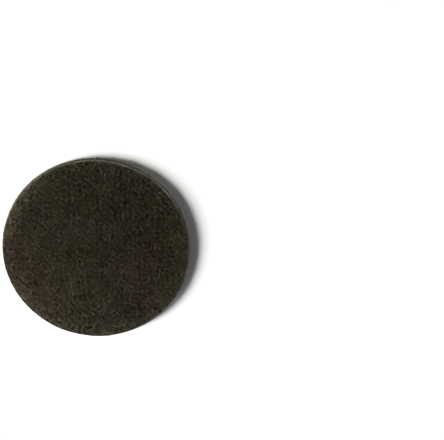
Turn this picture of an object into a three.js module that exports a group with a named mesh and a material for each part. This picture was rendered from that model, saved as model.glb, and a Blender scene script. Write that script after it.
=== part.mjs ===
// A round surface-conditioning sanding disc: a springy web of abrasive-coated fibres, needled and
// glued to a thin woven backing cloth, and punched out of the sheet as one disc with no centre hole.
// Millimetres, +Z up. The origin is the centre of the backing cloth's outer face, which grips the
// driving pad, and +Z is the spin axis, pointing out of the sanding face.
import * as THREE from "three";

// Driving dimensions, in millimetres
const discDiameter = 127; // across the cut edge, cloth and web alike
const backingThickness = 0.6; // woven cloth with its resin coat
const webThickness = 4.8; // fibre web, from the cloth to the sanding face
const webInset = 0.25; // how far the foot of the web's wall sits inside the cloth's cut edge
const flareHeight = 1.4; // height over which the wall springs back out to the full diameter
const faceEdgeRadius = 0.7; // rounded edge of the sanding face
const backingEdgeRadius = 0.15; // rounded outer edge of the cloth

// Facets
const facetsRound = 120;
const facetsInFlare = 4;
const facetsInFaceEdge = 4;
const facetsInBackingEdge = 2;

// Sizes that follow from them
const discRadius = discDiameter / 2;
const webFootRadius = discRadius - webInset;

const webMaterial = new THREE.MeshStandardMaterial({
  color: new THREE.Color().setRGB(0.034, 0.029, 0.02),
  roughness: 0.9,
  metalness: 0,
});
const backingMaterial = new THREE.MeshStandardMaterial({
  color: new THREE.Color().setRGB(0.15, 0.139, 0.124),
  roughness: 0.85,
  metalness: 0,
});

// A solid of revolution about +Z. The profile holds (radius, height) points that start on the axis
// at the bottom, run outwards and up, and come back to the axis at the top.
function turned(profile) {
  return new THREE.LatheGeometry(profile, facetsRound).rotateX(Math.PI / 2);
}

// Points of a rounded edge in the profile, from one angle to another with both ends included. The
// edge ends on the full disc radius, and its centre sits one edge radius inside that.
function roundedEdge(edgeRadius, centreHeight, fromAngle, toAngle, facets) {
  const points = [];
  for (let i = 0; i <= facets; i += 1) {
    const angle = fromAngle + ((toAngle - fromAngle) * i) / facets;
    const radius = discRadius - edgeRadius + edgeRadius * Math.cos(angle);
    const height = centreHeight + edgeRadius * Math.sin(angle);
    points.push(new THREE.Vector2(radius, height));
  }
  return points;
}

// The foot of the web's wall: half a cosine wave, from the inset radius out to the full one.
function flaredFoot() {
  const points = [];
  for (let i = 0; i <= facetsInFlare; i += 1) {
    const share = i / facetsInFlare;
    const sprung = (1 - Math.cos(Math.PI * share)) / 2;
    const radius = webFootRadius + webInset * sprung;
    points.push(new THREE.Vector2(radius, flareHeight * share));
  }
  return points;
}

// The fibre web. Its profile stands on height 0, and its mesh lifts it onto the cloth.
function abrasiveWeb() {
  const edgeHeight = webThickness - faceEdgeRadius;
  const profile = [
    new THREE.Vector2(0, 0),
    ...flaredFoot(),
    ...roundedEdge(faceEdgeRadius, edgeHeight, 0, Math.PI / 2, facetsInFaceEdge),
    new THREE.Vector2(0, webThickness),
  ];
  const mesh = new THREE.Mesh(turned(profile), webMaterial);
  mesh.name = "abrasive_web";
  mesh.position.z = backingThickness;
  return mesh;
}

// The woven cloth with its coat of resin, flat on both faces.
function scrimBacking() {
  const profile = [
    new THREE.Vector2(0, 0),
    ...roundedEdge(backingEdgeRadius, backingEdgeRadius, -Math.PI / 2, 0, facetsInBackingEdge),
    new THREE.Vector2(discRadius, backingThickness),
    new THREE.Vector2(0, backingThickness),
  ];
  const mesh = new THREE.Mesh(turned(profile), backingMaterial);
  mesh.name = "scrim_backing";
  return mesh;
}

const disc = new THREE.Group();
disc.name = "sanding_disc";
disc.add(scrimBacking(), abrasiveWeb());

export default disc;
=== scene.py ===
"""A surface-conditioning sanding disc, lying on its back with the sanding face up.

The disc is an open web of crimped fibres in dark abrasive resin, needled and glued to a plain-woven
backing cloth. Lengths here are in metres in the frame of the CAD part: the origin is the centre of
the cloth's outer face, and +Z points out of the sanding face. MM turns millimetres into metres.
"""

import logging
import math
from dataclasses import dataclass, field, replace
from enum import Enum

import bpy
import numpy as np
from mathutils import Matrix, Vector


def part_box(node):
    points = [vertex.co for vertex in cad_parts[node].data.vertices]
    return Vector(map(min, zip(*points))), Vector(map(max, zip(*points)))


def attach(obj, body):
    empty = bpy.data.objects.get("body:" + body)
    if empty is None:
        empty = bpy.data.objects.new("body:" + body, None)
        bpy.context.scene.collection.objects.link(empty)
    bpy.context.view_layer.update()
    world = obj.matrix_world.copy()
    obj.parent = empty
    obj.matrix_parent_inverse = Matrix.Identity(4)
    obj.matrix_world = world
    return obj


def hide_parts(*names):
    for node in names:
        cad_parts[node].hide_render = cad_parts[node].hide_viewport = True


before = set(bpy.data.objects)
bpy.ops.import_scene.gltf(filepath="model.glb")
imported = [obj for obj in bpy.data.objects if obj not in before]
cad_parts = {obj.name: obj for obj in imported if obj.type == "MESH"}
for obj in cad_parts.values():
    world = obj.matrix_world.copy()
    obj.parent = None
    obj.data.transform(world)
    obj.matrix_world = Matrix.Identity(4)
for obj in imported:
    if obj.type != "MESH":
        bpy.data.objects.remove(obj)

Rgb = tuple[float, float, float]
Span = tuple[float, float]  # lowest and highest value of an even random draw

MM = 0.001
FULL_TURN = 2 * math.pi
ANY_SHARE: Span = (0.0, 1.0)
ANY_ANGLE: Span = (0.0, FULL_TURN)
MAP_MARGIN = 0.08  # share of a map cell that stays free at each side of a tube's strip
WHITE = (1.0, 1.0, 1.0, 1.0)

log = logging.getLogger("sanding_disc")


# Numpy helpers: waves, maps and closed surfaces


def unit(vectors: np.ndarray) -> np.ndarray:
    """Scales vectors to length one.

    Args:
        vectors: Any array whose last axis holds x, y and z.

    Returns:
        The same directions, each divided by its own length.
    """
    return vectors / np.maximum(np.linalg.norm(vectors, axis=-1, keepdims=True), 1e-12)


def smooth_step(values: np.ndarray) -> np.ndarray:
    """Eases 0 to 1 with a flat start and end.

    Args:
        values: Any array, clipped to 0 to 1 first.

    Returns:
        Three times the square less twice the cube of each value.
    """
    share = np.clip(values, 0.0, 1.0)
    return share * share * (3.0 - 2.0 * share)


@dataclass(frozen=True)
class Ripples:
    """A smooth random height over a plane, as a sum of plane waves with seeded directions.

    The height at (a, b) is the sum over the waves of cos(ka * a + kb * b + phase), divided by the
    square root of half the number of waves, so that it has a spread of about one.
    """

    seed: int
    waves: int
    shortest: float
    longest: float
    stretch: float = 1.0

    def at(self, a: np.ndarray, b: np.ndarray) -> np.ndarray:
        """Works out the height at each place.

        Args:
            a: First coordinate in metres, along which waves are longer by the stretch.
            b: Second coordinate in metres.

        Returns:
            Heights with a spread of about one, in the shape of a.
        """
        rng = np.random.default_rng(self.seed)
        heading = rng.uniform(0.0, FULL_TURN, self.waves)
        length = rng.uniform(self.shortest, self.longest, self.waves)
        phase = rng.uniform(0.0, FULL_TURN, self.waves)
        along = FULL_TURN * np.cos(heading) / (length * self.stretch)
        across = FULL_TURN * np.sin(heading) / length
        total = np.zeros(np.shape(a))
        for wave_a, wave_b, start in zip(along, across, phase):
            total += np.cos(wave_a * a + wave_b * b + start)
        return total / math.sqrt(self.waves / 2)


@dataclass
class Surface:
    """One mesh as numpy arrays: points, faces, values at the points and a map for each corner."""

    points: np.ndarray
    corners: np.ndarray
    sizes: np.ndarray
    values: dict[str, np.ndarray] = field(default_factory=dict)
    places: np.ndarray | None = None

    def build(self, name: str, material: bpy.types.Material) -> bpy.types.Object:
        """Makes the Blender object, smooth shaded, with its values as attributes.

        Args:
            name: Name of the piece.
            material: The finish of the whole piece.

        Returns:
            The object, linked to the scene at the origin.
        """
        mesh = bpy.data.meshes.new(name)
        mesh.vertices.add(len(self.points))
        mesh.vertices.foreach_set("co", self.points.astype(np.float32).ravel())
        mesh.loops.add(len(self.corners))
        mesh.loops.foreach_set("vertex_index", self.corners.astype(np.int32))
        mesh.polygons.add(len(self.sizes))
        starts = np.concatenate(([0], np.cumsum(self.sizes)[:-1]))
        mesh.polygons.foreach_set("loop_start", starts.astype(np.int32))
        mesh.polygons.foreach_set("loop_total", self.sizes.astype(np.int32))
        mesh.update(calc_edges=True)
        mesh.polygons.foreach_set("use_smooth", np.ones(len(self.sizes), dtype=bool))
        for key, numbers in self.values.items():
            layer = mesh.attributes.new(key, "FLOAT", "POINT")
            layer.data.foreach_set("value", numbers.astype(np.float32).ravel())
        if self.places is not None:
            chart = mesh.uv_layers.new(name="OFBake")
            chart.data.foreach_set("uv", self.places.astype(np.float32).ravel())
        mesh.materials.append(material)
        piece = bpy.data.objects.new(name, mesh)
        bpy.context.scene.collection.objects.link(piece)
        return piece


def disc_grid(cells: int, radius: float) -> tuple[np.ndarray, np.ndarray]:
    """Spreads a square grid evenly over a disc, with the square's rim on the circle.

    A point (a, b) of the square from -1 to 1 goes to the radius of its larger coordinate m, at the
    angle of a quarter of pi times the smaller over the larger, measured from the larger's axis.

    Args:
        cells: Cells along one side of the square.
        radius: Radius of the disc in metres.

    Returns:
        x and y in metres, each as a square array.
    """
    line = np.linspace(-1.0, 1.0, cells + 1)
    a, b = np.meshgrid(line, line, indexing="ij")
    wide = np.abs(a) > np.abs(b)
    safe_a = np.where(a == 0.0, 1.0, a)
    safe_b = np.where(b == 0.0, 1.0, b)
    reach = np.where(wide, a, b)
    angle = np.where(wide, math.pi / 4 * b / safe_a, math.pi / 2 - math.pi / 4 * a / safe_b)
    return radius * reach * np.cos(angle), radius * reach * np.sin(angle)


def rim_order(cells: int) -> np.ndarray:
    """Lists a square grid's rim points, anticlockwise from its first corner.

    Args:
        cells: Cells along one side of the grid.

    Returns:
        Point numbers, four times the cells long.
    """
    numbers = np.arange((cells + 1) ** 2).reshape(cells + 1, cells + 1)
    return np.concatenate(
        (numbers[:-1, 0], numbers[-1, :-1], numbers[:0:-1, -1], numbers[0, :0:-1])
    )


def closed_disc(face: np.ndarray, rings: np.ndarray, centre: np.ndarray, up: bool) -> tuple:
    """Closes a disc-shaped grid with a wall of rings and a fan at the far end.

    Args:
        face: Points of the square grid, (cells + 1, cells + 1, 3).
        rings: Points of the wall, (rows, 4 * cells, 3), from the grid's rim outwards and away.
        centre: The point at which the fan closes.
        up: True if the grid faces +Z, False if it faces -Z.

    Returns:
        All points, all corners and the number of corners of each face.
    """
    cells = face.shape[0] - 1
    numbers = np.arange((cells + 1) ** 2).reshape(cells + 1, cells + 1)
    quads = np.stack(
        (numbers[:-1, :-1], numbers[1:, :-1], numbers[1:, 1:], numbers[:-1, 1:]), axis=-1
    ).reshape(-1, 4)
    rows, around = rings.shape[:2]
    ring_numbers = (cells + 1) ** 2 + np.arange(rows * around).reshape(rows, around)
    loops = np.vstack((rim_order(cells)[None, :], ring_numbers))
    following = np.roll(loops, -1, axis=1)
    wall = np.stack((loops[:-1], loops[1:], following[1:], following[:-1]), axis=-1)
    wall = wall.reshape(-1, 4)
    tip = (cells + 1) ** 2 + rows * around
    fan = np.stack((loops[-1], np.full(around, tip), following[-1]), axis=-1)
    if not up:
        quads, wall, fan = quads[:, ::-1], wall[:, ::-1], fan[:, ::-1]
    points = np.vstack((face.reshape(-1, 3), rings.reshape(-1, 3), centre[None, :]))
    corners = np.concatenate((quads.ravel(), wall.ravel(), fan.ravel()))
    sizes = np.concatenate((np.full(len(quads) + len(wall), 4), np.full(around, 3)))
    return points, corners, sizes


def tube_faces(count: int, steps: int, sides: int) -> tuple[np.ndarray, np.ndarray]:
    """Numbers the faces of many equal tubes whose points run tube, step, side.

    Args:
        count: How many tubes there are.
        steps: Rings of points along each tube.
        sides: Points around each ring.

    Returns:
        Side quads as (count, steps - 1, sides, 4) and caps as (count, 2, sides).
    """
    numbers = np.arange(count * steps * sides).reshape(count, steps, sides)
    following = np.roll(numbers, -1, axis=2)
    quads = np.stack(
        (numbers[:, :-1], following[:, :-1], following[:, 1:], numbers[:, 1:]), axis=-1
    )
    caps = np.stack((numbers[:, 0, ::-1], numbers[:, -1]), axis=1)
    return quads, caps


def tubes(paths: np.ndarray, radii: np.ndarray, sides: int, flat: float = 1.0) -> np.ndarray:
    """Carries a round or flattened section along each path.

    At each step the section stands square to the path: a point at turn t is the path's point plus
    the radius times cos(t) sideways, and the radius times flat times sin(t) downwards.

    Args:
        paths: Centre lines, (count, steps, 3).
        radii: Half widths, (count, steps).
        sides: Points around the section.
        flat: Height of the section as a share of its width.

    Returns:
        Points as (count, steps, sides, 3).
    """
    along = unit(np.gradient(paths, axis=1))
    across = unit(np.cross(along, np.array([0.0, 0.0, 1.0])))
    below = np.cross(along, across)
    turn = FULL_TURN * np.arange(sides) / sides
    ring = across[:, :, None, :] * np.cos(turn)[:, None]
    ring = ring + flat * below[:, :, None, :] * np.sin(turn)[:, None]
    return paths[:, :, None, :] + radii[:, :, None, None] * ring


def strip_places(count: int, steps: int, sides: int, columns: int) -> tuple:
    """Lays each tube out as a flat strip in its own cell of the unit square.

    Tubes fill the cells row by row. Along a tube the place runs across its cell, and around it the
    place runs up, with a margin that also holds the two caps.

    Args:
        count: How many tubes there are.
        steps: Rings of points along each tube.
        sides: Points around each ring.
        columns: Cells side by side.

    Returns:
        Places of the quads' corners and of the caps' corners, in the order of tube_faces.
    """
    rows = math.ceil(count / columns)
    wide, tall = 1 / columns, 1 / rows
    left = (np.arange(count) % columns) / columns
    low = (np.arange(count) // columns) / rows
    filled = 1 - 2 * MAP_MARGIN
    u = left[:, None] + wide * (MAP_MARGIN + filled * np.arange(steps) / (steps - 1))
    v = low[:, None] + tall * (MAP_MARGIN + filled * np.arange(sides + 1) / sides)
    near, far = u[:, :-1, None], u[:, 1:, None]
    under, over = v[:, None, :-1], v[:, None, 1:]
    shape = (count, steps - 1, sides, 1)
    corners = [
        np.concatenate([np.broadcast_to(item[..., None], shape) for item in corner], axis=-1)
        for corner in ((near, under), (near, over), (far, over), (far, under))
    ]
    turn = FULL_TURN * np.arange(sides) / sides
    spot = np.stack((MAP_MARGIN * 0.4 * (1 + np.cos(turn)), 0.5 + 0.3 * np.sin(turn)), axis=-1)
    starts = np.stack((left, low), axis=-1)[:, None, :] + spot * (wide, tall)
    ends = starts + ((1 - MAP_MARGIN) * wide, 0.0)
    return np.stack(corners, axis=3), np.stack((starts[:, ::-1], ends), axis=1)


def tube_surface(points: np.ndarray, columns: int, values: dict[str, np.ndarray]) -> Surface:
    """Makes one surface of many equal closed tubes.

    Args:
        points: Points as (count, steps, sides, 3).
        columns: Cells side by side in the map.
        values: Numbers at the steps of each tube, as (count, steps).

    Returns:
        The surface with its map, and each value spread over its ring of points.
    """
    count, steps, sides = points.shape[:3]
    quads, caps = tube_faces(count, steps, sides)
    quad_places, cap_places = strip_places(count, steps, sides, columns)
    corners = np.concatenate((quads.ravel(), caps.ravel()))
    sizes = np.concatenate((np.full(quads.size // 4, 4), np.full(2 * count, sides)))
    places = np.vstack((quad_places.reshape(-1, 2), cap_places.reshape(-1, 2)))
    spread = {key: np.repeat(item.ravel(), sides) for key, item in values.items()}
    return Surface(points.reshape(-1, 3), corners, sizes, spread, places)


# Random draws for fibres, one row for each


def draw(rng: np.random.Generator, span: Span, count: int) -> np.ndarray:
    """Draws numbers evenly from a span, as a column."""
    return rng.uniform(*span, (count, 1))


@dataclass(frozen=True)
class Lengths:
    """Random lengths in metres, from a gamma distribution that is cut off at both ends."""

    shape: float
    scale: float
    least: float
    most: float

    def draw(self, rng: np.random.Generator, count: int) -> np.ndarray:
        """Draws lengths, as a column."""
        return np.clip(rng.gamma(self.shape, self.scale, (count, 1)), self.least, self.most)


@dataclass(frozen=True)
class Sway:
    """A sine along a fibre, with a random number of turns, a random start and a random swing."""

    turns: Span
    swing: Span

    def draw(self, rng: np.random.Generator, share: np.ndarray, count: int) -> np.ndarray:
        """Draws the sway of each fibre at the given shares of its length.

        Args:
            rng: Seeded random numbers.
            share: Shares of the length, (1, steps).
            count: How many fibres there are.

        Returns:
            The swing times the sine of the turns times the share plus the start, (count, steps).
        """
        turns = draw(rng, self.turns, count) * share + draw(rng, ANY_SHARE, count)
        return draw(rng, self.swing, count) * np.sin(FULL_TURN * turns)


def scatter(rng: np.random.Generator, radius: float, count: int) -> tuple[np.ndarray, np.ndarray]:
    """Draws spots evenly over a disc: the radius times the root of a share, at any angle.

    Args:
        rng: Seeded random numbers.
        radius: Radius of the disc in metres.
        count: How many spots to draw.

    Returns:
        x and y in metres, each as a column.
    """
    reach = radius * np.sqrt(draw(rng, ANY_SHARE, count))
    around = draw(rng, ANY_ANGLE, count)
    return reach * np.cos(around), reach * np.sin(around)


def walk(
    x: np.ndarray, y: np.ndarray, course: np.ndarray, length: np.ndarray
) -> tuple[np.ndarray, np.ndarray]:
    """Walks from each spot in equal strides: the running sum of steps along its headings.

    Args:
        x: Places to start from, as a column.
        y: Places to start from, as a column.
        course: Heading of each stride in radians, (count, steps).
        length: Length of each walk in metres, as a column.

    Returns:
        x and y after each stride, (count, steps).
    """
    stride = length / (course.shape[1] - 1)
    x = x + np.cumsum(stride * np.cos(course), axis=1)
    y = y + np.cumsum(stride * np.sin(course), axis=1)
    return x, y


# Sizes of the disc


@dataclass(frozen=True)
class DiscSizes:
    """The disc's main sizes, read from the frame, with the small edges that the CAD part has.

    A power tells how sharply a value grows towards the rim. The pores start and end at heights of
    the felt's waves, and the highlight arc, where the edge gets a painted highlight, at cosines of
    the angle from its heading.
    """

    radius: float
    face_height: float
    cloth_top: float
    face_edge: float = 0.7 * MM
    foot_inset: float = 0.25 * MM
    flare_height: float = 1.4 * MM
    wall_wobble: float = 0.12 * MM
    face_swell: float = 0.06 * MM
    pore_depth: float = 0.36 * MM
    pore_start: float = 0.7
    pore_end: float = 2.3
    lip_width: float = 3.8 * MM
    lip_droop: float = 0.26 * MM
    lip_power: float = 1.8
    # Painted highlight on the face, palest at the rim.
    rim_highlight_width: float = 16.5 * MM
    rim_highlight_most: float = 0.88
    rim_highlight_power: float = 2.5
    # The arc of the edge that gets a painted highlight, on the near side, which faces the fill
    # light.
    highlight_heading: float = math.radians(-102.0)
    highlight_start: float = 0.7
    highlight_end: float = 0.94
    grain_middle: float = 0.47
    grain_patches: float = 0.48
    grain_rise: float = 0.54
    swell_waves: Ripples = Ripples(seed=3, waves=14, shortest=18 * MM, longest=60 * MM)
    wall_waves: Ripples = Ripples(seed=5, waves=9, shortest=20 * MM, longest=70 * MM)
    felt_waves: Ripples = Ripples(seed=11, waves=46, shortest=1.3 * MM, longest=3.8 * MM)
    patch_waves: Ripples = Ripples(seed=17, waves=18, shortest=5 * MM, longest=16 * MM)

    @classmethod
    def from_frame(cls) -> "DiscSizes":
        """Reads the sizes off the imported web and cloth.

        Returns:
            The sizes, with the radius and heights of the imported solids.
        """
        web_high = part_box("abrasive_web")[1]
        cloth_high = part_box("scrim_backing")[1]
        return cls(radius=cloth_high[0], face_height=web_high[2], cloth_top=cloth_high[2])

    def edge_drop(self, reach: np.ndarray) -> np.ndarray:
        """Tells how far the rounded edge lies below the flat face.

        Args:
            reach: Distance from the axis in metres.

        Returns:
            The edge radius less the height of its quarter circle, and 0 on the flat face.
        """
        over = np.clip(reach - (self.radius - self.face_edge), 0.0, self.face_edge)
        return self.face_edge - np.sqrt(np.maximum(self.face_edge**2 - over**2, 0.0))

    def face_level(self, x: np.ndarray, y: np.ndarray) -> np.ndarray:
        """Gives the height of the sanding face: flat, with a broad swell, rounded at the rim.

        Args:
            x: Places in metres.
            y: Places in metres.

        Returns:
            Heights in metres, in the shape of x.
        """
        level = self.face_height + self.face_swell * (self.swell_waves.at(x, y) - 1.0)
        return level - self.lip_droop * self.lip(x, y) - self.edge_drop(np.hypot(x, y))

    def felting(self, x: np.ndarray, y: np.ndarray) -> np.ndarray:
        """Gives the web's fine height waves, a millimetre or three long, with a spread of one."""
        return self.felt_waves.at(x, y)

    def pores(self, x: np.ndarray, y: np.ndarray) -> np.ndarray:
        """Gives the depth of the open pores, where the fine waves run low.

        Args:
            x: Places in metres.
            y: Places in metres.

        Returns:
            The pore depth times how far the waves lie below the pores' start, in metres. It is 0
            above the start, and grows no more past the pores' end.
        """
        low = np.clip(-self.felting(x, y), self.pore_start, self.pore_end)
        return self.pore_depth * (low - self.pore_start)

    def liveliness(self, x: np.ndarray, y: np.ndarray) -> np.ndarray:
        """Gives how strong the grain is: it comes in patches, and is calmer across the middle.

        Args:
            x: Places in metres.
            y: Places in metres.

        Returns:
            The grain across the middle, plus patches of waves, plus a rise to the rim's two ends in
            y. It runs from about 0 to 1.55.
        """
        patches = self.grain_patches * np.clip(self.patch_waves.at(x, y), -1.0, 1.1)
        return self.grain_middle + patches + self.grain_rise * np.abs(y) / self.radius

    def lip(self, x: np.ndarray, y: np.ndarray) -> np.ndarray:
        """Gives 1 at the outer rim of the face, easing to 0 inside the drooping lip."""
        share = (np.hypot(x, y) - self.radius + self.lip_width) / self.lip_width
        return np.clip(share, 0.0, 1.0) ** self.lip_power

    def rim_highlight(self, x: np.ndarray, y: np.ndarray) -> np.ndarray:
        """Gives how pale the face is painted as a highlight: most at the rim, nothing past its
        width.
        """
        share = (np.hypot(x, y) - self.radius + self.rim_highlight_width) / self.rim_highlight_width
        return self.rim_highlight_most * np.clip(share, 0.0, 1.0) ** self.rim_highlight_power

    def highlight_arc(self, angle: np.ndarray) -> np.ndarray:
        """Gives 1 along the arc of the edge that is painted pale as a highlight, easing to 0 an
        eighth turn off.
        """
        over = np.cos(angle - self.highlight_heading) - self.highlight_start
        return smooth_step(over / (self.highlight_end - self.highlight_start))

    def wall_climb(self) -> float:
        """Gives the way up the wall and round the face's edge, from the cloth to the flat face."""
        return self.face_height - self.face_edge - self.cloth_top + self.face_edge * math.pi / 2

    def around_lip(self, climb: np.ndarray) -> tuple[np.ndarray, np.ndarray, np.ndarray]:
        """Follows the wall upwards from the cloth and round the face's edge.

        Up to the edge the height grows with the climb. Past it the way is a quarter circle, whose
        angle is the climb past the start of the edge over the edge radius.

        Args:
            climb: Way along the profile from the cloth's top, in metres.

        Returns:
            How far the place lies inside the wall, its height, and the angle of the outward
            direction above the horizontal.
        """
        straight = self.face_height - self.face_edge - self.cloth_top
        lean = np.clip((climb - straight) / self.face_edge, 0.0, math.pi / 2)
        inset = self.face_edge * (1 - np.cos(lean))
        height = self.cloth_top + np.minimum(climb, straight) + self.face_edge * np.sin(lean)
        return inset, height, lean

    def wall_reach(self, angle: np.ndarray, height: np.ndarray) -> np.ndarray:
        """Gives the wall's distance from the axis: inset at the foot, full above the flare.

        A slow wave around the disc adds what the punch left uneven.

        Args:
            angle: Angle around the axis in radians.
            height: Height above the floor in metres.

        Returns:
            Distances in metres, in the joint shape of angle and height.
        """
        share = smooth_step((height - self.cloth_top) / self.flare_height)
        slow = self.wall_waves.at(self.radius * np.cos(angle), self.radius * np.sin(angle))
        return self.radius - self.foot_inset * (1 - share) + self.wall_wobble * slow


# Node helpers and the effects that several finishes share


class Nodes:
    """Places and links the nodes of one material or group."""

    def __init__(self, tree: bpy.types.NodeTree) -> None:
        """Keeps the tree to work on.

        Args:
            tree: The node tree of a material, a world or a group.
        """
        self.tree = tree

    def add(self, kind: str, inputs: dict | None = None, **settings: object) -> bpy.types.Node:
        """Adds one node.

        Args:
            kind: The node's type name.
            inputs: Values or sockets by input name or number. A socket is linked.
            **settings: Properties of the node itself.

        Returns:
            The new node.
        """
        node = self.tree.nodes.new(kind)
        for key, setting in settings.items():
            setattr(node, key, setting)
        for key, given in (inputs or {}).items():
            if isinstance(given, bpy.types.NodeSocket):
                self.tree.links.new(given, node.inputs[key])
            else:
                node.inputs[key].default_value = given
        return node

    def math(self, operation: str, *terms: object, clamp: bool = False) -> bpy.types.NodeSocket:
        """Adds a Math node.

        Args:
            operation: What it works out.
            *terms: Its numbers or sockets.
            clamp: True if the result is kept between 0 and 1.

        Returns:
            The result.
        """
        node = self.add("ShaderNodeMath", dict(enumerate(terms)), operation=operation)
        node.use_clamp = clamp
        return node.outputs[0]

    def ramp(
        self, value: object, low: object, high: object, out_low: float, out_high: float
    ) -> bpy.types.NodeSocket:
        """Adds a smooth Map Range.

        Args:
            value: The number to map.
            low: Where the ramp starts.
            high: Where it ends.
            out_low: The result up to the start.
            out_high: The result from the end on.

        Returns:
            The result.
        """
        given = {"Value": value, 1: low, 2: high, 3: out_low, 4: out_high}
        node = self.add("ShaderNodeMapRange", given, interpolation_type="SMOOTHSTEP")
        return node.outputs["Result"]

    def noise(
        self, place: object, scale: object, detail: float, rough: float = 0.5
    ) -> bpy.types.NodeSocket:
        """Adds a Noise Texture.

        Args:
            place: Coordinates in metres.
            scale: Waves to a metre.
            detail: How many finer waves lie on top.
            rough: Strength of each finer wave.

        Returns:
            Its height from 0 to 1.
        """
        given = {"Vector": place, "Scale": scale, "Detail": detail, "Roughness": rough}
        return self.add("ShaderNodeTexNoise", given).outputs[0]

    def mix(
        self, share: object, first: object, second: object, blend: str = "MIX"
    ) -> bpy.types.NodeSocket:
        """Adds a colour Mix.

        Args:
            share: How much of the blend shows.
            first: The colour below.
            second: The colour above.
            blend: How the two are blended.

        Returns:
            The mixed colour.
        """
        given = {0: share, 6: first, 7: second}
        node = self.add("ShaderNodeMix", given, data_type="RGBA", blend_type=blend)
        return node.outputs[2]

    def attribute(self, name: str) -> bpy.types.NodeSocket:
        """Adds an Attribute node and returns its number."""
        return self.add("ShaderNodeAttribute", attribute_name=name).outputs["Fac"]

    def place(self) -> bpy.types.NodeSocket:
        """Adds a Texture Coordinate node and returns the Object coordinates."""
        return self.add("ShaderNodeTexCoord").outputs["Object"]


def opaque(colour: Rgb, strength: float = 1.0) -> tuple[float, float, float, float]:
    """Turns a colour into four numbers, its bands times a strength and then 1."""
    return (*(strength * band for band in colour), 1.0)


@dataclass(frozen=True)
class Grain:
    """A mask made of noise, whose height is spread from low at a start to high at an end."""

    scale: float
    detail: float
    rough: float
    start: float
    end: float
    low: float
    high: float

    def height(self, nodes: Nodes, place: object) -> bpy.types.NodeSocket:
        """Adds the noise and returns its height from 0 to 1."""
        return nodes.noise(place, self.scale, self.detail, self.rough)

    def spread(self, nodes: Nodes, height: object) -> bpy.types.NodeSocket:
        """Adds the ramp on a noise's height and returns the mask."""
        return nodes.ramp(height, self.start, self.end, self.low, self.high)

    def mask(self, nodes: Nodes, place: object) -> bpy.types.NodeSocket:
        """Adds the noise with its ramp and returns the mask."""
        return self.spread(nodes, self.height(nodes, place))


SPECKLE = Grain(2600.0, 3.0, 0.7, 0.3, 0.75, 0.04, 0.36)  # single grains in the resin
SPECKLE_ROUGHNESS = replace(SPECKLE, start=0.25, low=0.52, high=0.9)  # on the same noise
CLUMPS = Grain(500.0, 3.0, 0.62, 0.34, 0.66, -0.31, 0.34)  # clumps of resin between fibres
BROAD_SHADE = Grain(38.0, 3.0, 0.5, 0.3, 0.7, -0.09, 0.09)  # lighter and darker areas
HUE_DRIFT = Grain(60.0, 3.0, 0.55, 0.5, 0.66, 0.0, 1.0)  # plum areas in an olive ground
BLOTS = Grain(330.0, 4.0, 0.68, 0.41, 0.53, 0.12, 1.0)  # resin that came through the cloth
SMEARS = Grain(480.0, 5.0, 0.7, 0.5, 0.62, 0.0, 0.5)  # thin smears of it everywhere
# Painted shade: resin deep in the web is drawn darker.
PAINTED_SHADE_WITH_DEPTH = 0.72  # share of its colour that the deepest resin loses
PATCH_DETAIL = 5.0  # how many finer waves the rim of an oval patch has
PATCH_ROUGH = 0.62  # strength of each of them


def new_group(name: str, inputs: dict[str, str], outputs: dict[str, str]) -> tuple:
    """Starts a shader node group with named sockets.

    Args:
        name: Name of the group.
        inputs: Socket type by input name.
        outputs: Socket type by output name.

    Returns:
        The group, its Nodes helper, its input node and its output node.
    """
    group = bpy.data.node_groups.new(name, "ShaderNodeTree")
    for direction, sockets in (("INPUT", inputs), ("OUTPUT", outputs)):
        for key, kind in sockets.items():
            group.interface.new_socket(key, in_out=direction, socket_type=kind)
    nodes = Nodes(group)
    return group, nodes, nodes.add("NodeGroupInput"), nodes.add("NodeGroupOutput")


def soft_patch_group() -> bpy.types.NodeTree:
    """Builds the mask of one uneven oval patch.

    The mask is 1 inside the oval and eases to 0 past its rim, and noise moves the rim in and out.

    Returns:
        A group with inputs Place, Centre, Turn, Reach, Ragged, Grain and Soft, and output Mask.
    """
    group, nodes, given, result = new_group(
        "soft_patch",
        {
            "Place": "NodeSocketVector",
            "Centre": "NodeSocketVector",
            "Turn": "NodeSocketVector",
            "Reach": "NodeSocketVector",
            "Ragged": "NodeSocketFloat",
            "Grain": "NodeSocketFloat",
            "Soft": "NodeSocketFloat",
        },
        {"Mask": "NodeSocketFloat"},
    )
    local = nodes.add(
        "ShaderNodeMapping",
        {
            "Vector": given.outputs["Place"],
            "Location": given.outputs["Centre"],
            "Rotation": given.outputs["Turn"],
            "Scale": given.outputs["Reach"],
        },
        vector_type="TEXTURE",
    )
    reach = nodes.add("ShaderNodeVectorMath", {0: local.outputs[0]}, operation="LENGTH")
    waves = (given.outputs["Grain"], PATCH_DETAIL, PATCH_ROUGH)
    uneven = nodes.noise(given.outputs["Place"], *waves)
    shift = nodes.math("MULTIPLY_ADD", uneven, given.outputs["Ragged"], reach.outputs["Value"])
    half = nodes.math("MULTIPLY", given.outputs["Ragged"], 0.5)
    edge = nodes.math("SUBTRACT", shift, half)
    inner = nodes.math("SUBTRACT", 1.0, given.outputs["Soft"])
    outer = nodes.math("ADD", 1.0, given.outputs["Soft"])
    nodes.tree.links.new(nodes.ramp(edge, inner, outer, 1.0, 0.0), result.inputs["Mask"])
    return group


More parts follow.
